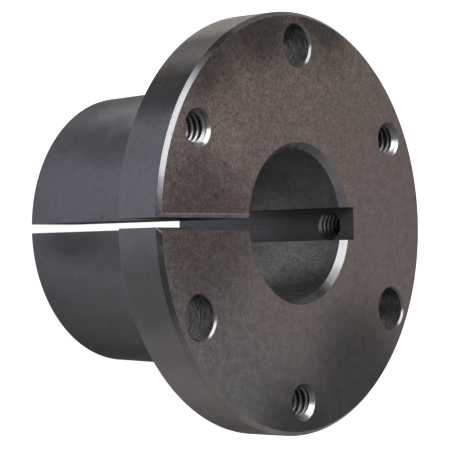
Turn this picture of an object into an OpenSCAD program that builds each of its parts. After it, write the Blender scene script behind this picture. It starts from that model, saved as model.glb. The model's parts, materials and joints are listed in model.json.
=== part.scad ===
// Quick disconnect bushing: a flanged steel sleeve with a tapered barrel,
// split down one side so that drawing it into a tapered hub closes it on the
// shaft. It stands on the small end of its barrel, with the flange face up.
// The bore runs along Z, the keyway faces +X and the split faces -X.

/* [Flange] */
// Outer diameter of the flange
flange_d = 80.96; // [79.5:0.01:90]
// Thickness of the flange
flange_t = 10; // [9.6:0.1:14]
// Bevel round the front edge of the flange
face_bevel = 0.8; // [0.2:0.1:1.5]
// Bevel round the back edge of the flange
back_bevel = 0.35; // [0.1:0.05:0.4]

/* [Barrel] */
// Length from the flange face to the small end of the barrel
overall_len = 46.04; // [30:0.01:60]
// Diameter of the barrel where it leaves the flange
barrel_d = 56; // [50:0.1:58]
// Taper, as the fall in diameter for each unit of length
taper = 0.0625; // [0.03:0.0025:0.08]
// Bevel round the small end of the barrel
end_bevel = 0.4; // [0.1:0.05:1]
// Radius in the corner between the barrel and the flange
root_r = 0.6; // [0.2:0.1:1.5]

/* [Bore] */
// Diameter of the bore, which is that of the shaft
bore_d = 28.575; // [19.05:0.005:32]
// Bevel at both mouths of the bore
bore_bevel = 1.25; // [0.4:0.05:1.5]
// Width of the keyway
key_w = 6.4; // [5.5:0.05:8]
// Depth of the keyway below the bore wall, on its middle line
key_depth = 2.94; // [1.8:0.01:3.5]

/* [Split] */
// Width of the split through the flange and the barrel
split_w = 1.7; // [1.2:0.1:3.5]
// Bevel along both edges of the split on the flange face
split_bevel = 0.85; // [0.1:0.05:1.1]

/* [Flange holes] */
// Distance from the rim of the flange in to the middle of each hole
rim_margin = 6.35; // [5.3:0.05:7.4]
// Diameter of the plain bolt holes
bolt_hole_d = 7.94; // [5:0.01:8.5]
// Bevel at both mouths of a bolt hole
bolt_hole_bevel = 0.45; // [0.1:0.05:0.8]
// Drilled diameter of the jack holes, before their thread is cut
jack_tap_d = 5.11; // [3.8:0.01:6.8]
// Countersink at the mouths of a jack hole, measured on the radius
jack_sink = 1.05; // [0.5:0.05:1.2]

/* [Set screw hole] */
// Drilled diameter of the set screw hole, before its thread is cut
set_tap_d = 5.11; // [3.8:0.01:5.3]
// Distance from the flange face to the middle of the set screw hole
set_from_face = 6; // [5:0.1:6.4]
// Countersink where the hole comes out of the rim, measured on the radius
set_sink = 0.65; // [0.2:0.05:0.8]

/* [Hidden] */

// Number of bolt holes, and of jack holes midway between them
hole_pairs = 3;
// How far a cut runs past the surface that it opens
past = 1;
// Smoothness of the round surfaces
ring_fn = 180;
hole_fn = 64;
corner_fn = 24;

flange_r = flange_d / 2;
flange_back_z = overall_len - flange_t;
barrel_r = barrel_d / 2;
end_r = barrel_r - flange_back_z * taper / 2;
bore_r = bore_d / 2;
key_floor_x = bore_r + key_depth;
bolt_circle_r = flange_r - rim_margin;
hole_step = 360 / hole_pairs;
// The first bolt hole lies a quarter turn from the keyway
first_bolt_angle = 90;
first_jack_angle = first_bolt_angle + hole_step / 2;
set_z = overall_len - set_from_face;

// Half section of the turned blank, from the axis out: barrel, root, flange.
// The root circle touches the tapered side and the back of the flange.
module blank_section() {
    lean = atan(taper / 2);
    root_x = barrel_r - root_r * taper / 2 + root_r / cos(lean);
    root_z = flange_back_z - root_r;
    difference() {
        polygon([
            [0, 0],
            [end_r - end_bevel, 0],
            [end_r + end_bevel * taper / 2, end_bevel],
            [root_x - root_r * cos(lean), root_z + root_r * sin(lean)],
            [root_x, flange_back_z],
            [flange_r - back_bevel, flange_back_z],
            [flange_r, flange_back_z + back_bevel],
            [flange_r, overall_len - face_bevel],
            [flange_r - face_bevel, overall_len],
            [0, overall_len]
        ]);
        translate([root_x, root_z])
            circle(r = root_r, $fn = corner_fn);
    }
}

// Half section of what the boring bar removes, bevelled at both mouths
module bore_section() {
    mouth_r = bore_r + bore_bevel;
    polygon([
        [0, -past],
        [mouth_r + past, -past],
        [bore_r, bore_bevel],
        [bore_r, overall_len - bore_bevel],
        [mouth_r + past, overall_len + past],
        [0, overall_len + past]
    ]);
}

// A round hole of radius r through a wall from z0 to z1, with a bevel of the
// same depth and width at each mouth
module drilled(r, z0, z1, bevel) {
    rotate_extrude($fn = hole_fn)
        polygon([
            [0, z0 - past],
            [r + bevel + past, z0 - past],
            [r, z0 + bevel],
            [r, z1 - bevel],
            [r + bevel + past, z1 + past],
            [0, z1 + past]
        ]);
}

// One hole of each of the pairs, spaced evenly round the bolt circle
module on_bolt_circle(first_angle) {
    for (i = [0 : hole_pairs - 1])
        rotate([0, 0, first_angle + i * hole_step])
            translate([bolt_circle_r, 0, 0])
                children();
}

// The broached keyway, open into the bore along its whole length
module keyway() {
    translate([0, -key_w / 2, -past])
        cube([key_floor_x, key_w, overall_len + 2 * past]);
}

// The sawn split, from the bore out through the barrel and the flange, with
// the burr taken off both of its edges on the flange face
module split() {
    translate([-flange_r - past, 0, 0])
        rotate([90, 0, 90])
            linear_extrude(flange_r + past)
                polygon([
                    [-split_w / 2, -past],
                    [split_w / 2, -past],
                    [split_w / 2, overall_len - split_bevel],
                    [split_w / 2 + split_bevel + past, overall_len + past],
                    [-split_w / 2 - split_bevel - past, overall_len + past],
                    [-split_w / 2, overall_len - split_bevel]
                ]);
}

// The radial hole that lets a set screw bear on the key
module set_screw_hole() {
    set_r = set_tap_d / 2;
    translate([0, 0, set_z])
        rotate([0, 90, 0])
            rotate_extrude($fn = hole_fn)
                polygon([
                    [0, bore_r],
                    [set_r, bore_r],
                    [set_r, flange_r - set_sink],
                    [set_r + set_sink + past, flange_r + past],
                    [0, flange_r + past]
                ]);
}

// The whole bushing is one piece of turned steel, blackened all over
module bushing() {
    color([0.25, 0.24, 0.24])
        difference() {
            rotate_extrude($fn = ring_fn) blank_section();
            rotate_extrude($fn = ring_fn) bore_section();
            keyway();
            split();
            on_bolt_circle(first_bolt_angle)
                drilled(bolt_hole_d / 2, flange_back_z, overall_len, bolt_hole_bevel);
            on_bolt_circle(first_jack_angle)
                drilled(jack_tap_d / 2, flange_back_z, overall_len, jack_sink);
            set_screw_hole();
        }
}

bushing();
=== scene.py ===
import json
import math

import bmesh
import bpy
from mathutils import Matrix, Vector


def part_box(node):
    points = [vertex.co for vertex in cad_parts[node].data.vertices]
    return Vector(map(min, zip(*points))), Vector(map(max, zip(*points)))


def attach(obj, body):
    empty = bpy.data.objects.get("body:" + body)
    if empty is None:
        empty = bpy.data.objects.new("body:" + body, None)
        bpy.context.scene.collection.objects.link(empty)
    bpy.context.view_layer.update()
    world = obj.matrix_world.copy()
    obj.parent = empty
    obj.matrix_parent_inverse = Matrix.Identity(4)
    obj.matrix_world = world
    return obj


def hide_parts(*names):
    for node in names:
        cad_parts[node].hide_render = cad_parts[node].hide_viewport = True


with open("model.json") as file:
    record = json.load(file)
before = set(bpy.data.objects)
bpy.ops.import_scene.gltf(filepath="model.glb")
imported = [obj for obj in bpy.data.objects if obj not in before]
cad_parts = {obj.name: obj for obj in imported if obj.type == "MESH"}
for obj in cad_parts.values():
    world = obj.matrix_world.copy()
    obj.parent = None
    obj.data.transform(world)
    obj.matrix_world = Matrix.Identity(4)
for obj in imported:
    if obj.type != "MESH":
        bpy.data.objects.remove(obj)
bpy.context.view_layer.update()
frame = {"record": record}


# Turned blank: a steel bar turned to a round flange, bevelled at both edges, on a
# barrel that tapers 3/4 inch per foot, with a small radius in the corner. Hot black
# oxide then colours the whole piece, bronze on the open face and bluer outside.

mm = 0.001


def add(tree, kind, links, **settings):
    """A node of that kind with its settings. Each input is a value or another node's socket."""
    node = tree.nodes.new(kind)
    for name, value in settings.items():
        setattr(node, name, value)
    for socket, source in links.items():
        if isinstance(source, bpy.types.NodeSocket):
            tree.links.new(source, node.inputs[socket])
        else:
            node.inputs[socket].default_value = source
    return node


def linear(colour):
    """Linear RGBA of an sRGB colour written as hex digits."""
    parts = [int(colour[i:i + 2], 16) / 255 for i in (0, 2, 4)]
    return [c / 12.92 if c <= 0.04045 else ((c + 0.055) / 1.055) ** 2.4 for c in parts] + [1]


# A noise texture's factor seldom leaves this range
noise_low, noise_high = 0.3, 0.7


def swing(tree, source, depth):
    """A factor about 1 that follows a noise up and down by that depth."""
    return add(tree, "ShaderNodeMapRange", {
        "Value": source, "From Min": noise_low, "From Max": noise_high,
        "To Min": 1 - depth, "To Max": 1 + depth}).outputs[0]


def blackened_steel(name, colours, roughness, lay_mm, lay_depth, grain_depth, film=0.05, lean=0.0,
                    patchy=0.5, crisp=(0, 1, 0), places=(), wander_mm=6.0, streak=1.0, edge="ffffff",
                    marks=None, ridge=1.0):
    """Black oxide on steel. colours are the film's hues from thin to thick, lay_mm is the
    spacing of the tool marks, and the depths are how far marks and grain show. film is the
    share of the light that the oxide scatters instead of mirroring. lean moves the hue
    towards the thick end for each metre towards -Y, a drift of hue that also paints shade
    on the side away from the key light; patchy is how much the hue varies by chance, and
    crisp the way in which the grain gets sharper. places are soft spots, each (x, y, z),
    reach and tone, painted darker or lighter as painted shade and painted light, drawn out
    along Z by streak, and their outlines wander by wander_mm. edge tints what the surface
    reflects at a grazing angle. marks squeezes the tool marks' pattern along X, Y and Z,
    or None runs them round the bore's axis, and ridge is how many times higher than usual
    they stand."""
    material = bpy.data.materials.new(name)
    material.use_nodes = True
    tree = material.node_tree
    tree.nodes.clear()
    place = add(tree, "ShaderNodeTexCoord", {}).outputs["Object"]

    # The oxide's thickness drifts over 10 to 20 mm, and mottles over 2 mm. Its crystals
    # are too fine to show, so their grain is drawn as coarse as it needs to show
    drift_size, mottle_size, grain_size = 17 * mm, 1.9 * mm, 0.55 * mm
    drift = add(tree, "ShaderNodeTexNoise", {"Vector": place, "Scale": 1 / drift_size, "Detail": 3,
                                             "Roughness": 0.55, "Distortion": 0.4})
    mottle = add(tree, "ShaderNodeTexNoise", {"Vector": place, "Scale": 1 / mottle_size, "Detail": 4,
                                              "Roughness": 0.6})
    grain = add(tree, "ShaderNodeTexNoise", {"Vector": place, "Scale": 1 / grain_size, "Detail": 2,
                                             "Roughness": 0.6, "Distortion": 0.9})
    xyz = add(tree, "ShaderNodeSeparateXYZ", {"Vector": place})
    mottle_share = 0.15
    uneven = add(tree, "ShaderNodeMix", {0: mottle_share, 2: drift.outputs["Fac"],
                                         3: mottle.outputs["Fac"]})
    chance = add(tree, "ShaderNodeMapRange", {"Value": uneven.outputs[0], "To Min": 0.5 - patchy / 2,
                                              "To Max": 0.5 + patchy / 2})
    # The film's chance drift, plus lean's painted shade towards -Y, picks the hue
    film_and_shade = add(tree, "ShaderNodeMath", {0: xyz.outputs["Y"], 1: -lean, 2: chance.outputs[0]},
                    operation="MULTIPLY_ADD")
    hue = add(tree, "ShaderNodeValToRGB", {"Fac": film_and_shade.outputs[0]})
    # The hues are spread over the thicknesses that come up most
    thin, thick = 0.34, 0.66
    stops = hue.color_ramp.elements
    stops[0].position, stops[0].color = thin, linear(colours[0])
    stops[1].position, stops[1].color = thick, linear(colours[-1])
    for i, colour in enumerate(colours[1:-1]):
        stops.new(thin + (thick - thin) * (i + 1) / (len(colours) - 1)).color = linear(colour)

    # Turning leaves rings on a face and lines round a rim. Its real marks are only 0.1 to
    # 0.2 mm apart, too fine to show, so most are drawn two to four times as coarse
    if marks:
        across = add(tree, "ShaderNodeVectorMath", {0: place, 1: marks}, operation="MULTIPLY")
    else:
        flat = add(tree, "ShaderNodeVectorMath", {0: place, 1: (1, 1, 0)}, operation="MULTIPLY")
        radius = add(tree, "ShaderNodeVectorMath", {0: flat.outputs[0]}, operation="LENGTH")
        across = add(tree, "ShaderNodeCombineXYZ", {"X": radius.outputs["Value"],
                                                    "Y": xyz.outputs["Z"]})
    lay = add(tree, "ShaderNodeTexNoise", {"Vector": across.outputs[0], "Scale": 1 / (lay_mm * mm),
                                           "Detail": 2, "Roughness": 0.6})

    # The grain is sharp on one side of the piece, and the film blurs it on the other
    blurred_at, sharp_at, least_grain = -20 * mm, 20 * mm, 0.3
    side = add(tree, "ShaderNodeVectorMath", {0: place, 1: crisp}, operation="DOT_PRODUCT")
    sharp = add(tree, "ShaderNodeMapRange", {
        "Value": side.outputs["Value"], "From Min": blurred_at, "From Max": sharp_at,
        "To Min": least_grain, "To Max": 1.0})
    speckle = add(tree, "ShaderNodeMix", {0: sharp.outputs[0], 2: 1.0,
                                          3: swing(tree, grain.outputs["Fac"], grain_depth)})
    mottle_depth = grain_depth * 0.3
    tone = add(tree, "ShaderNodeMath", {0: speckle.outputs[0],
                                        1: swing(tree, lay.outputs["Fac"], lay_depth)},
               operation="MULTIPLY")
    tone = add(tree, "ShaderNodeMath", {0: tone.outputs[0],
                                        1: swing(tree, mottle.outputs["Fac"], mottle_depth)},
               operation="MULTIPLY")

    # A colour noise averages half of its range, so the spots are moved by half the wander too
    wander_size = 6 * mm
    wander = add(tree, "ShaderNodeTexNoise", {"Vector": place, "Scale": 1 / wander_size, "Detail": 3})
    moved = add(tree, "ShaderNodeVectorMath", {0: wander.outputs["Color"], 1: (wander_mm * mm,) * 3,
                                               2: place}, operation="MULTIPLY_ADD")
    drawn = add(tree, "ShaderNodeVectorMath", {0: moved.outputs[0], 1: (1, 1, 1 / streak)},
                operation="MULTIPLY")
    spot_core = 0.25
    # Each place paints shade or light into the colour, as a soft darker or lighter spot
    for spot, reach, spot_tone in places:
        x, y, z = [(c + wander_mm / 2) * mm for c in spot]
        away = add(tree, "ShaderNodeVectorMath", {0: drawn.outputs[0], 1: (x, y, z / streak)},
                   operation="DISTANCE")
        fade = add(tree, "ShaderNodeMapRange", {
            "Value": away.outputs["Value"], "From Min": reach * spot_core * mm, "From Max": reach * mm,
            "To Min": spot_tone, "To Max": 1.0}, interpolation_type="SMOOTHSTEP")
        tone = add(tree, "ShaderNodeMath", {0: tone.outputs[0], 1: fade.outputs[0]},
                   operation="MULTIPLY")
    colour = add(tree, "ShaderNodeVectorMath", {0: hue.outputs["Color"], "Scale": tone.outputs[0]},
                 operation="SCALE")

    # Fine pits of the film scatter its gloss, and the marks and grain catch the light
    gloss_swing = 0.06
    mark_height = 0.06 * mm * lay_depth * ridge
    grain_height = 0.16 * mm * grain_depth
    gloss = add(tree, "ShaderNodeMapRange", {
        "Value": mottle.outputs["Fac"], "From Min": noise_low, "From Max": noise_high,
        "To Min": roughness - gloss_swing, "To Max": roughness + gloss_swing})
    ripple = add(tree, "ShaderNodeBump", {"Height": lay.outputs["Fac"], "Strength": 0.5,
                                          "Distance": mark_height})
    relief = add(tree, "ShaderNodeBump", {"Height": grain.outputs["Fac"], "Normal": ripple.outputs[0],
                                          "Strength": 0.6, "Distance": grain_height})
    shader = add(tree, "ShaderNodeBsdfPrincipled", {
        "Base Color": colour.outputs[0], "Metallic": 1 - film, "Roughness": gloss.outputs[0],
        "Specular Tint": linear(edge), "Normal": relief.outputs[0]})
    add(tree, "ShaderNodeOutputMaterial", {"Surface": shader.outputs[0]})
    return material


# Tool marks are rings, and the oxide is bronze. Its darker clouds, mostly near the edge, and one
# lighter spot are painted reflection: the dark and bright sectors of the sheen that turned rings give
faced_finish = blackened_steel(
    "black_oxide_faced_steel", ["6c645f", "6e625c", "706360", "6e6460", "666263", "615f62"],
    roughness=0.38, lay_mm=0.35, lay_depth=0.04, grain_depth=0.43, lean=3.5, patchy=0.18,
    crisp=(-0.7, 0.8, 0),
    places=[((-28, 32, 46), 15, 0.38), ((-11, 38, 46), 14, 0.33), ((8, 41, 46), 14, 0.36),
            ((-29, -1, 46), 22, 0.54), ((18, -31, 46), 23, 0.4), ((-3, -42, 46), 18, 0.36),
            ((-22, 13, 46), 8, 1.25)])

# Fine lines run round the rim and barrel, whose film is smoother and bluer. Its spots are painted
# reflection, lighter and darker patches where the rim and barrel mirror brighter and darker
# surroundings
turned_finish = blackened_steel(
    "black_oxide_turned_steel", ["7f7b77", "74727a", "726f79", "706e74", "727173", "746f6e"],
    roughness=0.33, lay_mm=0.4, lay_depth=0.04, grain_depth=0.14, lean=5.5, patchy=0.25,
    edge="9c9c9c", streak=3.0,
    places=[((-13, 38, 41), 12, 2.4), ((-32.5, 24, 41), 9, 0.34), ((-38.5, -12.5, 41), 12, 0.66),
            ((-22.5, -33.5, 41), 15, 1.5), ((-21.5, 17, 18), 9, 0.68), ((-27, -4, 18), 7, 0.7),
            ((-15, 24, 28), 11, 1.9), ((-27, -3, 11), 4.5, 0.75), ((-23, -15, 18), 11, 0.86),
            ((-37.5, 15, 41), 10, 0.88)])

# The tool leaves the bevel smooth, so it mirrors the light in one band with fine lines along it.
# Its dark spots paint shade on either side of that band, and its light spots paint highlights on other
# stretches of the rim's and bore's bevels
bevelled_finish = blackened_steel(
    "black_oxide_bevelled_steel", ["5a5a5c", "5c5c5e", "5c5856"],
    roughness=0.24, lay_mm=0.2, lay_depth=0.16, grain_depth=0.1, lean=5.0, patchy=0.2,
    places=[((-26, 31, 45.6), 12, 0.19), ((-40, 4, 45.6), 7, 0.5), ((-40, -1.5, 45.6), 3, 0.3),
            ((-38.5, -10.5, 45.6), 12, 0.42), ((-20, -36, 45.6), 24, 1.7), ((-4, -40, 45.6), 10, 1.6),
            ((-13, -37.5, 45.6), 9, 1.4), ((-9, 38.5, 45.6), 14, 1.4), ((8.5, -12, 45.6), 7, 0.42),
            ((10.5, 10.5, 45.6), 7, 1.3), ((-8, 14, 45.6), 8, 3.0)])

# A lighter finish that paints a highlight on the flange's back bevel and on one bevel of the split,
# where these edges catch the light
painted_highlight_finish = blackened_steel(
    "black_oxide_painted_highlight_steel", ["8a8886", "a09e9d", "8e8c8b"],
    roughness=0.36, lay_mm=0.3, lay_depth=0.12, grain_depth=0.3)

_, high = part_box("bushing")
mounts = {mount["name"]: mount for mount in frame["record"]["mounts"]}
rim_r = high.y
face_z = high.z
flange_t = 10 * mm
flange_back_z = face_z - flange_t
face_bevel = 0.8 * mm
back_bevel = 0.35 * mm
barrel_r = 28 * mm
# 3/4 inch per foot is the fall of the diameter, and the radius falls by half of that
taper = 0.75 / 12 / 2
end_r = barrel_r - flange_back_z * taper
end_bevel = 0.4 * mm
root_r = 0.6 * mm
root_steps = 6
turned_segments = 180
# Points nearer to each other than this are made one
weld = 0.001 * mm
# A face whose normal's Z is past this lies flat across the axis
flat_z = 0.99


def arc_corner(before, corner, after, radius, steps):
    """Points of an arc of that radius in the corner between two stretches of an outline."""
    back = (Vector(before) - Vector(corner)).normalized()
    on = (Vector(after) - Vector(corner)).normalized()
    half = back.angle(on) / 2
    centre = Vector(corner) + (back + on).normalized() * radius / math.sin(half)
    first = Vector(corner) + back * radius / math.tan(half) - centre
    turn = math.copysign(math.pi - 2 * half, first.cross(on))
    return [tuple(centre + Matrix.Rotation(turn * i / steps, 2) @ first) for i in range(steps + 1)]


def placed(name, data):
    """A new object in the scene with that mesh, light or camera."""
    piece = bpy.data.objects.new(name, data)
    bpy.context.scene.collection.objects.link(piece)
    return piece


def outline_object(name, points):
    """The points of a half section, in order, as a mesh of loose vertices in the XZ plane."""
    mesh = bpy.data.meshes.new(name)
    mesh.from_pydata([(r, 0, z) for r, z in points], [], [])
    return placed(name, mesh)


def new_tree(name, sockets):
    """An empty geometry tree with named inputs, and its group input and output nodes."""
    tree = bpy.data.node_groups.new(name, "GeometryNodeTree")
    for socket, kind in sockets:
        tree.interface.new_socket(name=socket, in_out="INPUT", socket_type="NodeSocket" + kind)
    tree.interface.new_socket(name="Geometry", in_out="OUTPUT", socket_type="NodeSocketGeometry")
    given = add(tree, "NodeGroupInput", {})
    return tree, given


def point_grid(tree, rows, segments):
    """A grid of that many rows and one column more than segments, and each point's row and column."""
    columns = add(tree, "FunctionNodeIntegerMath", {0: segments, 1: 1}, operation="ADD").outputs[0]
    grid = add(tree, "GeometryNodeMeshGrid", {"Vertices X": rows, "Vertices Y": columns})
    index = add(tree, "GeometryNodeInputIndex", {}).outputs[0]
    row = add(tree, "FunctionNodeIntegerMath", {0: index, 1: columns}, operation="DIVIDE_FLOOR")
    column = add(tree, "FunctionNodeIntegerMath", {0: index, 1: columns}, operation="MODULO")
    return grid.outputs[0], row.outputs[0], column.outputs[0]


def end_tree(tree, given, geometry):
    """Ends a tree: its instances are made real, and the finish is set on every face."""
    solid = add(tree, "GeometryNodeRealizeInstances", {"Geometry": geometry})
    finished = add(tree, "GeometryNodeSetMaterial", {"Geometry": solid.outputs[0],
                                                     "Material": given.outputs["Finish"]})
    add(tree, "NodeGroupOutput", {"Geometry": finished.outputs[0]})
    return tree


def lathe_tree():
    """Turns an outline of loose vertices round the Z axis into a closed solid."""
    tree, given = new_tree("turned_on_the_lathe", [
        ("Geometry", "Geometry"), ("Segments", "Int"), ("Start", "Float"), ("Finish", "Material")])
    outline = given.outputs["Geometry"]
    segments = given.outputs["Segments"]
    count = add(tree, "GeometryNodeAttributeDomainSize", {"Geometry": outline})
    grid, row, column = point_grid(tree, count.outputs["Point Count"], segments)
    where = add(tree, "GeometryNodeInputPosition", {})
    point = add(tree, "GeometryNodeSampleIndex", {"Geometry": outline, "Value": where.outputs[0],
                                                  "Index": row}, data_type="FLOAT_VECTOR")
    share = add(tree, "ShaderNodeMath", {0: column, 1: segments}, operation="DIVIDE")
    angle = add(tree, "ShaderNodeMath", {0: share.outputs[0], 1: math.tau, 2: given.outputs["Start"]},
                operation="MULTIPLY_ADD")
    turned = add(tree, "ShaderNodeVectorRotate", {"Vector": point.outputs[0],
                                                  "Angle": angle.outputs[0]}, rotation_type="Z_AXIS")
    skin = add(tree, "GeometryNodeSetPosition", {"Geometry": grid, "Position": turned.outputs[0]})
    closed = add(tree, "GeometryNodeMergeByDistance", {"Geometry": skin.outputs[0], "Distance": weld})
    return end_tree(tree, given, closed.outputs[0])


def settle(piece):
    """Makes what the piece's modifiers give its plain mesh, and removes them."""
    evaluated = piece.evaluated_get(bpy.context.evaluated_depsgraph_get())
    mesh = bpy.data.meshes.new_from_object(evaluated)
    piece.modifiers.clear()
    piece.data = mesh


def made_by(piece, tree, **inputs):
    """Runs a geometry tree on the piece with those inputs, and keeps the result as its mesh."""
    modifier = piece.modifiers.new(tree.name, "NODES")
    modifier.node_group = tree
    sockets = {s.name: s.identifier for s in tree.interface.items_tree if s.in_out == "INPUT"}
    for name, value in inputs.items():
        modifier[sockets[name.replace("_", " ")]] = value
    settle(piece)
    # Set Material on a bare grid leaves an empty slot in front of the finish's own
    if piece.data.materials[0] is None:
        piece.data.materials.pop(index=0)
    face_outwards(piece.data)
    return piece


def face_outwards(mesh):
    """Turns the faces of a closed mesh outwards."""
    work = bmesh.new()
    work.from_mesh(mesh)
    bmesh.ops.recalc_face_normals(work, faces=work.faces)
    if work.calc_volume(signed=True) < 0:
        bmesh.ops.reverse_faces(work, faces=work.faces)
    work.to_mesh(mesh)
    work.free()


lathe = lathe_tree()


def turned_solid(name, outline, segments, finish, start=0.0):
    """A new object turned from that half section. start is the angle of its first column."""
    return made_by(outline_object(name, outline), lathe, Segments=segments, Start=start, Finish=finish)


root = arc_corner((end_r, 0), (barrel_r, flange_back_z), (rim_r, flange_back_z), root_r, root_steps)
blank_outline = [
    (0, 0),
    (end_r - end_bevel, 0),
    (end_r + end_bevel * taper, end_bevel),
    *root,
    (rim_r - back_bevel, flange_back_z),
    (rim_r, flange_back_z + back_bevel),
    (rim_r, face_z - face_bevel),
    (rim_r - face_bevel, face_z),
    (0, face_z),
]
bushing = turned_solid("quick_disconnect_bushing", blank_outline, turned_segments, turned_finish,
                       start=math.pi / turned_segments)


def finish_faces(piece, finish, chosen):
    """Gives that finish to the faces that the test chooses."""
    slots = piece.data.materials
    if finish.name not in slots:
        slots.append(finish)
    for face in piece.data.polygons:
        if chosen(face):
            face.material_index = slots.find(finish.name)


finish_faces(bushing, faced_finish, lambda face: face.normal.z > flat_z)
finish_faces(bushing, bevelled_finish, lambda face: 0.5 < face.normal.z < flat_z)
# The flange's back bevel gets the painted highlight
finish_faces(bushing, painted_highlight_finish,
             lambda face: -flat_z < face.normal.z < -0.6 and face.center.z > flange_back_z)


# Bore: bored through on the lathe to fit its shaft, and bevelled at both mouths.
# Its wall is darker than the outside: painted shade, because it faces itself,
# and also because the oxide there is rarely handled.

# The boring bar leaves fine rings, and the oxide is neutral and dull, its grain sharper
# towards -Y. Its spots paint light on the +X side of the wall and shade on its -Y side
# near the mouth
bored_finish = blackened_steel(
    "black_oxide_bored_steel", ["5d5d5d", "656565", "595b5b"],
    roughness=0.45, lay_mm=0.28, lay_depth=0.1, grain_depth=0.42, film=0.3, crisp=(0, -1.5, 0),
    streak=1.5,
    places=[((13.5, -5, 25), 14, 2.5), ((5, -14, 42), 14, 0.36), ((10, 10, 30), 14, 1.65)])
bore_r = mounts["bore"]["dims"]["r_mm"] * mm
bore_bevel = 1.25 * mm
bore_segments = 160
# How far a cutting tool reaches past the surface that it opens
past = 1 * mm


def hole_outline(radius, z0, z1, bevel):
    """Half section of what leaves a round hole from z0 to z1 with a bevel at each mouth."""
    return [(0, z0 - past), (radius + bevel + past, z0 - past), (radius, z0 + bevel),
            (radius, z1 - bevel), (radius + bevel + past, z1 + past), (0, z1 + past)]


def cut(piece, tool):
    """Takes the tool's solid out of the piece. The cut faces get the tool's finish."""
    modifier = piece.modifiers.new("cut", "BOOLEAN")
    modifier.operation = "DIFFERENCE"
    modifier.solver = "MANIFOLD"
    modifier.material_mode = "TRANSFER"
    modifier.object = tool
    settle(piece)
    bpy.data.objects.remove(tool)


bore_tool = turned_solid("bore_tool", hole_outline(bore_r, 0, face_z, bore_bevel), bore_segments,
                         bored_finish, start=math.pi / bore_segments)
finish_faces(bore_tool, bevelled_finish, lambda face: 0.1 < abs(face.normal.z) < flat_z)
cut(bushing, bore_tool)


# Keyway: broached along the bore with a square-cornered broach, so its floor and
# sides have fine straight lines along the axis.

# The broach's lines run along the cut, and the keyway is painted lighter towards the small end, as
# painted light where the bore opens
broached_finish = blackened_steel(
    "black_oxide_broached_steel", ["58575b", "5f5e63", "5a595e"],
    roughness=0.4, lay_mm=0.3, lay_depth=0.16, grain_depth=0.06, film=0.25, marks=(1, 1, 0),
    places=[((17, 0, 4), 34, 2.3)])
key_w = 6.4 * mm
key_depth = 2.94 * mm
key_floor_x = bore_r + key_depth


def prism(name, outline, lift, finish):
    """A closed prism: the outline's 3D points, and the same points again moved by lift."""
    count = len(outline)
    far = [tuple(Vector(p) + Vector(lift)) for p in outline]
    sides = [(i, (i + 1) % count, count + (i + 1) % count, count + i) for i in range(count)]
    ends = [tuple(range(count)), tuple(range(count, 2 * count))]
    mesh = bpy.data.meshes.new(name)
    mesh.from_pydata(outline + far, [], ends + sides)
    mesh.materials.append(finish)
    face_outwards(mesh)
    return placed(name, mesh)


broach = prism("broach", [(0, -key_w / 2, -past), (key_floor_x, -key_w / 2, -past),
                          (key_floor_x, key_w / 2, -past), (0, key_w / 2, -past)],
               (0, 0, face_z + 2 * past), broached_finish)
cut(bushing, broach)


# Bolt holes: three plain holes drilled through the flange for the cap screws.
# The drill leaves rough turns in the wall, and each mouth is bevelled.

# The turns round the wall catch the light, and the wall is painted lighter on its -Y side, a painted
# highlight where it faces the key light
drilled_finish = blackened_steel(
    "black_oxide_drilled_steel", ["565555", "5f5e5e", "575658"],
    roughness=0.25, lay_mm=0.5, lay_depth=0.4, grain_depth=0.4, film=0.2, marks=(0.3, 0.3, 1),
    ridge=18.0, wander_mm=1.0,
    places=[((0, 30, 42), 5, 2.6), ((-29.6, -21.2, 42), 5, 2.6), ((29.6, -21.2, 42), 5, 2.6)])
bolt_circle_r = mounts["bolt_holes"]["dims"]["pcd_mm"] / 2 * mm
bolt_hole_r = mounts["bolt_holes"]["dims"]["hole_r_mm"] * mm
bolt_hole_bevel = 0.45 * mm
hole_count = mounts["bolt_holes"]["dims"]["count"]
# The first bolt hole lies a quarter turn from the keyway
first_bolt_angle = math.radians(90)
hole_segments = 64


def ring_tree():
    """Copies a tool evenly round the bolt circle, each turned with its place."""
    tree, given = new_tree("round_the_bolt_circle", [
        ("Geometry", "Geometry"), ("Count", "Int"), ("Circle Radius", "Float"),
        ("First Angle", "Float"), ("Finish", "Material")])
    count = given.outputs["Count"]
    index = add(tree, "GeometryNodeInputIndex", {})
    share = add(tree, "ShaderNodeMath", {0: index.outputs[0], 1: count}, operation="DIVIDE")
    angle = add(tree, "ShaderNodeMath", {0: share.outputs[0], 1: math.tau,
                                         2: given.outputs["First Angle"]}, operation="MULTIPLY_ADD")
    on_x = add(tree, "ShaderNodeCombineXYZ", {"X": given.outputs["Circle Radius"]})
    place = add(tree, "ShaderNodeVectorRotate", {"Vector": on_x.outputs[0], "Angle": angle.outputs[0]},
                rotation_type="Z_AXIS")
    spots = add(tree, "GeometryNodePoints", {"Count": count, "Position": place.outputs[0]})
    turn = add(tree, "ShaderNodeCombineXYZ", {"Z": angle.outputs[0]})
    rotation = add(tree, "FunctionNodeEulerToRotation", {"Euler": turn.outputs[0]})
    copies = add(tree, "GeometryNodeInstanceOnPoints", {
        "Points": spots.outputs[0], "Instance": given.outputs["Geometry"],
        "Rotation": rotation.outputs[0]})
    return end_tree(tree, given, copies.outputs[0])


ring = ring_tree()


def on_bolt_circle(tool, first_angle, finish):
    """The tool, copied evenly round the bolt circle from that angle on."""
    return made_by(tool, ring, Count=hole_count, Circle_Radius=bolt_circle_r,
                   First_Angle=first_angle, Finish=finish)


bolt_hole_outline = hole_outline(bolt_hole_r, flange_back_z, face_z, bolt_hole_bevel)
drill = turned_solid("drill", bolt_hole_outline, hole_segments, drilled_finish)
drill = on_bolt_circle(drill, first_bolt_angle, drilled_finish)
finish_faces(drill, bevelled_finish, lambda face: 0.1 < abs(face.normal.z) < flat_z)
cut(bushing, drill)


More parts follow.
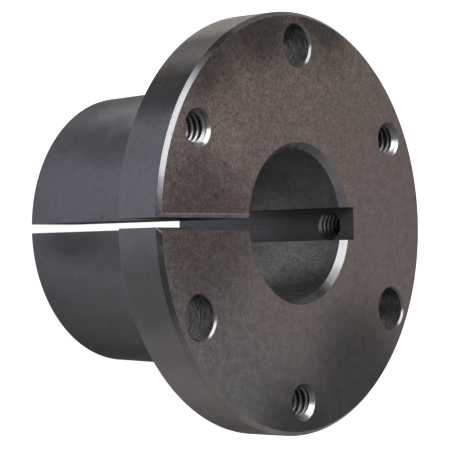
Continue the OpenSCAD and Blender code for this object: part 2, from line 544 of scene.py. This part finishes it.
# Split: sawn through one side from the bore to the rim with a slitting saw, so
# that the barrel can close on the shaft. Its edges on the face are bevelled.

# The saw leaves coarse marks from its teeth, and its wall is coloured dark as painted shade in the
# narrow split
sawn_finish = blackened_steel(
    "black_oxide_sawn_steel", ["53514f", "5d5a57", "535153"],
    roughness=0.38, lay_mm=0.6, lay_depth=0.12, grain_depth=0.14)
split_w = 1.7 * mm
split_bevel = 0.85 * mm
flare = split_bevel + past
saw = prism("saw", [
    (0, -split_w / 2, -past), (0, split_w / 2, -past), (0, split_w / 2, face_z - split_bevel),
    (0, split_w / 2 + flare, face_z + past), (0, -split_w / 2 - flare, face_z + past),
    (0, -split_w / 2, face_z - split_bevel)], (-rim_r - past, 0, 0), sawn_finish)
# The bevel on the split's +Y side gets the painted highlight, and the other is as dark as the walls
finish_faces(saw, painted_highlight_finish, lambda face: face.normal.y > 0.5 and face.normal.z < -0.5)
cut(bushing, saw)


# Countersinks: a 90 degree tool opens both ends of the three jack holes, and the
# rim end of the set screw hole, before they are tapped, so that the thread starts
# clean. The tool rubs them smooth, and they shine where they face the light.

# The cut metal stays bright under the oxide. Each countersink is painted darker on its +Y side,
# and the set screw hole deep inside, as painted shade
tapped_finish = blackened_steel(
    "black_oxide_tapped_steel", ["6a6a6b", "767677", "6e6e70"],
    roughness=0.27, lay_mm=0.4, lay_depth=0.08, grain_depth=0.05, wander_mm=1.0,
    places=[((26, 0, 37), 9, 0.1), ((-27.5, 21, 46.5), 5.5, 0.35), ((31.5, 21, 46.5), 5.5, 0.45),
            ((1, -30.5, 46.5), 5.5, 0.35)])
tap_r = mounts["jack_hole_1"]["dims"]["r_mm"] * mm
jack_sink = 1.05 * mm
set_sink = 0.65 * mm
set_z = mounts["set_screw_hole"]["pos_m"][2]
# The countersinks' tips are narrower than the hole, so the tap takes away their flats
pilot_r = tap_r * 0.9
first_jack_angle = first_bolt_angle + math.pi / hole_count


def sink_outline(sink):
    """Half section of a 90 degree cutter that points down and meets the surface at z = 0."""
    mouth_r = tap_r + sink
    tip_z = pilot_r - mouth_r
    return [(0, tip_z), (pilot_r, tip_z), (mouth_r + past, past), (0, past)]


front_sink = turned_solid("front_sink", sink_outline(jack_sink), hole_segments, tapped_finish)
back_sink = placed("back_sink", front_sink.data.copy())
upside_down = Matrix.Rotation(math.pi, 4, "X")
outwards = Matrix.Rotation(math.pi / 2, 4, "Y")
front_sink.data.transform(Matrix.Translation((0, 0, face_z)))
back_sink.data.transform(Matrix.Translation((0, 0, flange_back_z)) @ upside_down)
for sink in (front_sink, back_sink):
    cut(bushing, on_bolt_circle(sink, first_jack_angle, tapped_finish))
rim_sink = turned_solid("rim_sink", sink_outline(set_sink), hole_segments, tapped_finish)
rim_sink.data.transform(Matrix.Translation((rim_r, 0, set_z)) @ outwards)
cut(bushing, rim_sink)


# Broken edges: before the holes are tapped, every sharp outer edge is filed or
# tumbled to a narrow round, which catches the light as a thin line.

edge_break = 0.1 * mm
# Edges that turn by more than this are broken
sharpest_left = math.radians(25)
# Faces that lean by less than this to each other are one flat face
flat_within = math.radians(0.05)
# The cuts leave slivers up to this wide where two tools' faces nearly meet
sliver = 0.002 * mm


def break_edges(piece, offset):
    """Rounds the sharp outer edges of a piece, after its flat faces are made whole."""
    work = bmesh.new()
    work.from_mesh(piece.data)
    bmesh.ops.remove_doubles(work, verts=work.verts, dist=sliver)
    bmesh.ops.dissolve_limit(work, angle_limit=flat_within, verts=work.verts, edges=work.edges,
                             delimit={"MATERIAL"})
    sharp = [edge for edge in work.edges
             if edge.is_manifold and edge.is_convex and edge.calc_face_angle() > sharpest_left]
    bmesh.ops.bevel(work, geom=sharp, offset=offset, offset_type="OFFSET", segments=2, profile=0.5,
                    affect="EDGES", clamp_overlap=False, material=-1)
    work.to_mesh(piece.data)
    work.free()


break_edges(bushing, edge_break)


# Threads: 1/4-20 threads cut with a tap through the jack holes and through the
# set screw hole, which runs from the rim into the keyway. Their crests are flats
# that the drill left, and the tap leaves narrower flats at their roots.

thread_pitch = 25.4 * mm / 20
# The roots lie 1/8 inch from the screw's axis, and the crests stand at the tap drill's radius
thread_depth = 0.62 * mm
steps_per_turn = 32


def tap_tree():
    """A closed solid with a screw thread round Z. Its rows of points are one step of the helix
    apart, the thread's section sets each point's radius, and the end rows are drawn in to the axis."""
    tree, given = new_tree("tap", [
        ("Geometry", "Geometry"), ("Crest Radius", "Float"), ("Depth", "Float"), ("Pitch", "Float"),
        ("Steps", "Int"), ("Rows", "Int"), ("Finish", "Material")])
    steps = given.outputs["Steps"]
    grid, row, column = point_grid(tree, given.outputs["Rows"], steps)
    # The end rows stand at the height of the rings next to them, with no radius
    last_ring = add(tree, "FunctionNodeIntegerMath", {0: given.outputs["Rows"], 1: 2},
                    operation="SUBTRACT")
    ring_row = add(tree, "ShaderNodeClamp", {"Value": row, "Min": 1.0, "Max": last_ring.outputs[0]})
    is_ring = add(tree, "ShaderNodeMath", {0: row, 1: ring_row.outputs[0], 2: 0.5},
                  operation="COMPARE")
    step = add(tree, "ShaderNodeMath", {0: given.outputs["Pitch"], 1: steps}, operation="DIVIDE")
    height = add(tree, "ShaderNodeMath", {0: ring_row.outputs[0], 1: step.outputs[0]},
                 operation="MULTIPLY")
    ahead = add(tree, "ShaderNodeMath", {0: ring_row.outputs[0], 1: column}, operation="SUBTRACT")
    turns = add(tree, "ShaderNodeMath", {0: ahead.outputs[0], 1: steps}, operation="DIVIDE")
    phase = add(tree, "ShaderNodeMath", {0: turns.outputs[0]}, operation="FRACT")
    middle = add(tree, "ShaderNodeMath", {0: phase.outputs[0], 1: 0.5}, operation="SUBTRACT")
    off = add(tree, "ShaderNodeMath", {0: middle.outputs[0]}, operation="ABSOLUTE")
    # Each flank runs from 1/16 to 11/32 of the pitch away from the root's middle
    flank_start, flank_end = 1 / 16, 11 / 32
    groove = add(tree, "ShaderNodeMapRange", {"Value": off.outputs[0], "From Min": flank_start,
                                              "From Max": flank_end, "To Min": 1.0, "To Max": 0.0})
    radius = add(tree, "ShaderNodeMath", {0: groove.outputs[0], 1: given.outputs["Depth"],
                                          2: given.outputs["Crest Radius"]}, operation="MULTIPLY_ADD")
    kept = add(tree, "ShaderNodeMath", {0: radius.outputs[0], 1: is_ring.outputs[0]},
               operation="MULTIPLY")
    share = add(tree, "ShaderNodeMath", {0: column, 1: steps}, operation="DIVIDE")
    angle = add(tree, "ShaderNodeMath", {0: share.outputs[0], 1: math.tau}, operation="MULTIPLY")
    on_x = add(tree, "ShaderNodeCombineXYZ", {"X": kept.outputs[0], "Z": height.outputs[0]})
    turned = add(tree, "ShaderNodeVectorRotate", {"Vector": on_x.outputs[0], "Angle": angle.outputs[0]},
                 rotation_type="Z_AXIS")
    skin = add(tree, "GeometryNodeSetPosition", {"Geometry": grid, "Position": turned.outputs[0]})
    # Each square is split along the helix, so that crests and roots are clean lines
    halved = add(tree, "GeometryNodeTriangulate", {"Mesh": skin.outputs[0]}, quad_method="FIXED")
    closed = add(tree, "GeometryNodeMergeByDistance", {"Geometry": halved.outputs[0],
                                                       "Distance": weld})
    return end_tree(tree, given, closed.outputs[0])


tap_shape = tap_tree()


def tap(name, length):
    """A tap of at least that length, its lower end one step above z = 0."""
    end_rows = 2
    rows = math.ceil(length / (thread_pitch / steps_per_turn)) + 1 + end_rows
    return made_by(outline_object(name, [(0, 0)]), tap_shape, Crest_Radius=tap_r, Depth=thread_depth,
                   Pitch=thread_pitch, Steps=steps_per_turn, Rows=rows, Finish=tapped_finish)


jack_tap = tap("jack_tap", face_z - flange_back_z + 2 * past)
jack_tap.data.transform(Matrix.Translation((0, 0, flange_back_z - past)))
cut(bushing, on_bolt_circle(jack_tap, first_jack_angle, tapped_finish))
set_tap = tap("set_tap", rim_r - bore_r + past)
set_tap.data.transform(Matrix.Translation((bore_r, 0, set_z)) @ outwards)
cut(bushing, set_tap)


def make_whole(piece):
    """Merges doubled points, splits the faces into triangles and dissolves the slivers."""
    work = bmesh.new()
    work.from_mesh(piece.data)
    bmesh.ops.remove_doubles(work, verts=work.verts, dist=sliver)
    bmesh.ops.triangulate(work, faces=work.faces)
    bmesh.ops.dissolve_degenerate(work, dist=sliver, edges=work.edges)
    work.to_mesh(piece.data)
    work.free()


def shade(piece, crease):
    """Smooth shading in which wide faces stay flat, narrow rounds blend into them, and edges
    sharper than crease stay sharp."""
    piece.data.set_sharp_from_angle(angle=crease)
    for face in piece.data.polygons:
        face.use_smooth = True
    modifier = piece.modifiers.new("wide_faces_stay_flat", "WEIGHTED_NORMAL")
    modifier.keep_sharp = True
    settle(piece)


make_whole(bushing)
shade(bushing, crease=math.radians(28))
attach(bushing, "root")
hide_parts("bushing")


# Studio: a plain pale floor, a large soft light over the photograph's upper
# edge, and a pale surround that fills the rest.

floor_mesh = bpy.data.meshes.new("floor")
floor_half = 3.0
# A hair below the barrel's end, so that the two surfaces don't fall into one
floor_z = -0.02 * mm
floor_mesh.from_pydata([(-floor_half, -floor_half, floor_z), (floor_half, -floor_half, floor_z),
                        (floor_half, floor_half, floor_z), (-floor_half, floor_half, floor_z)],
                       [], [(0, 1, 2, 3)])
floor = placed("floor", floor_mesh)
floor_finish = bpy.data.materials.new("matt_white_paper")
floor_finish.use_nodes = True
# Matt paper, which gives soft light back with no mirror image
paper = floor_finish.node_tree.nodes["Principled BSDF"]
paper.inputs["Base Color"].default_value = linear("8c8c8c")
paper.inputs["Roughness"].default_value = 0.9
paper.inputs["Specular IOR Level"].default_value = 0.1
paper.inputs["Emission Color"].default_value = linear("ffffff")
# The paper is burnt out to white in the picture, but lights the bushing softly
paper_glow = 0.21
seen = add(floor_finish.node_tree, "ShaderNodeLightPath", {})
glow = add(floor_finish.node_tree, "ShaderNodeMath", {0: seen.outputs["Is Camera Ray"], 1: paper_glow},
           operation="MAXIMUM")
floor_finish.node_tree.links.new(glow.outputs[0], paper.inputs["Emission Strength"])
floor_mesh.materials.append(floor_finish)

world = bpy.data.worlds.new("pale_surround")
world.use_nodes = True
surround = world.node_tree.nodes["Background"]
# The surround is dimmer near the horizon than from 45 degrees up
horizon_strength, upper_strength, upper_z = 0.3, 0.75, 0.7
direction = add(world.node_tree, "ShaderNodeTexCoord", {})
height = add(world.node_tree, "ShaderNodeSeparateXYZ", {"Vector": direction.outputs["Generated"]})
dim = add(world.node_tree, "ShaderNodeMapRange", {
    "Value": height.outputs["Z"], "From Min": 0.0, "From Max": upper_z,
    "To Min": horizon_strength, "To Max": upper_strength})
seen = add(world.node_tree, "ShaderNodeLightPath", {})
shown = add(world.node_tree, "ShaderNodeMath", {0: dim.outputs[0], 1: seen.outputs["Is Camera Ray"]},
            operation="MAXIMUM")
world.node_tree.links.new(shown.outputs[0], surround.inputs["Strength"])
surround.inputs["Color"].default_value = linear("ffffff")
bpy.context.scene.world = world


def softbox(name, direction, distance, along, length, width, power):
    """A rectangular soft light in that direction from the bushing, its length along another."""
    light = bpy.data.lights.new(name, "AREA")
    light.shape = "RECTANGLE"
    light.size, light.size_y = width, length
    light.energy = power
    away = Vector(direction).normalized()
    across = Vector(along).cross(away).normalized()
    axes = Matrix((across, away.cross(across), away)).transposed()
    middle = Vector((0, 0, face_z / 2))
    placed(name, light).matrix_world = Matrix.Translation(middle + away * distance) @ axes.to_4x4()


softbox("key_softbox", direction=(-0.317, 0.612, 0.725), distance=0.6,
        along=(0.715, 0.725, -0.305), length=0.7, width=0.45, power=7)


# Camera at the photograph's viewing angle: a long lens that looks down on the
# face from the split's side, turned so that the axis lies across the picture.

camera_data = bpy.data.cameras.new("camera")
camera_data.lens = 152.65
camera_data.sensor_width = 36
camera_data.clip_start = 0.01
camera = placed("camera", camera_data)
camera_aim = Vector((2.04, 0.22, 25.46)) * mm
camera_distance = 379.07 * mm
camera_elevation = math.radians(39.94)
camera_azimuth = math.radians(181.44)
camera_roll = math.radians(88.07)
camera_away = Vector((math.cos(camera_elevation) * math.cos(camera_azimuth),
                      math.cos(camera_elevation) * math.sin(camera_azimuth),
                      math.sin(camera_elevation)))
level = camera_away.to_track_quat("Z", "Y").to_matrix().to_4x4()
camera.matrix_world = (Matrix.Translation(camera_aim + camera_away * camera_distance) @ level
                       @ Matrix.Rotation(camera_roll, 4, "Z"))
bpy.context.scene.camera = camera
bpy.context.scene.view_settings.view_transform = "Standard"
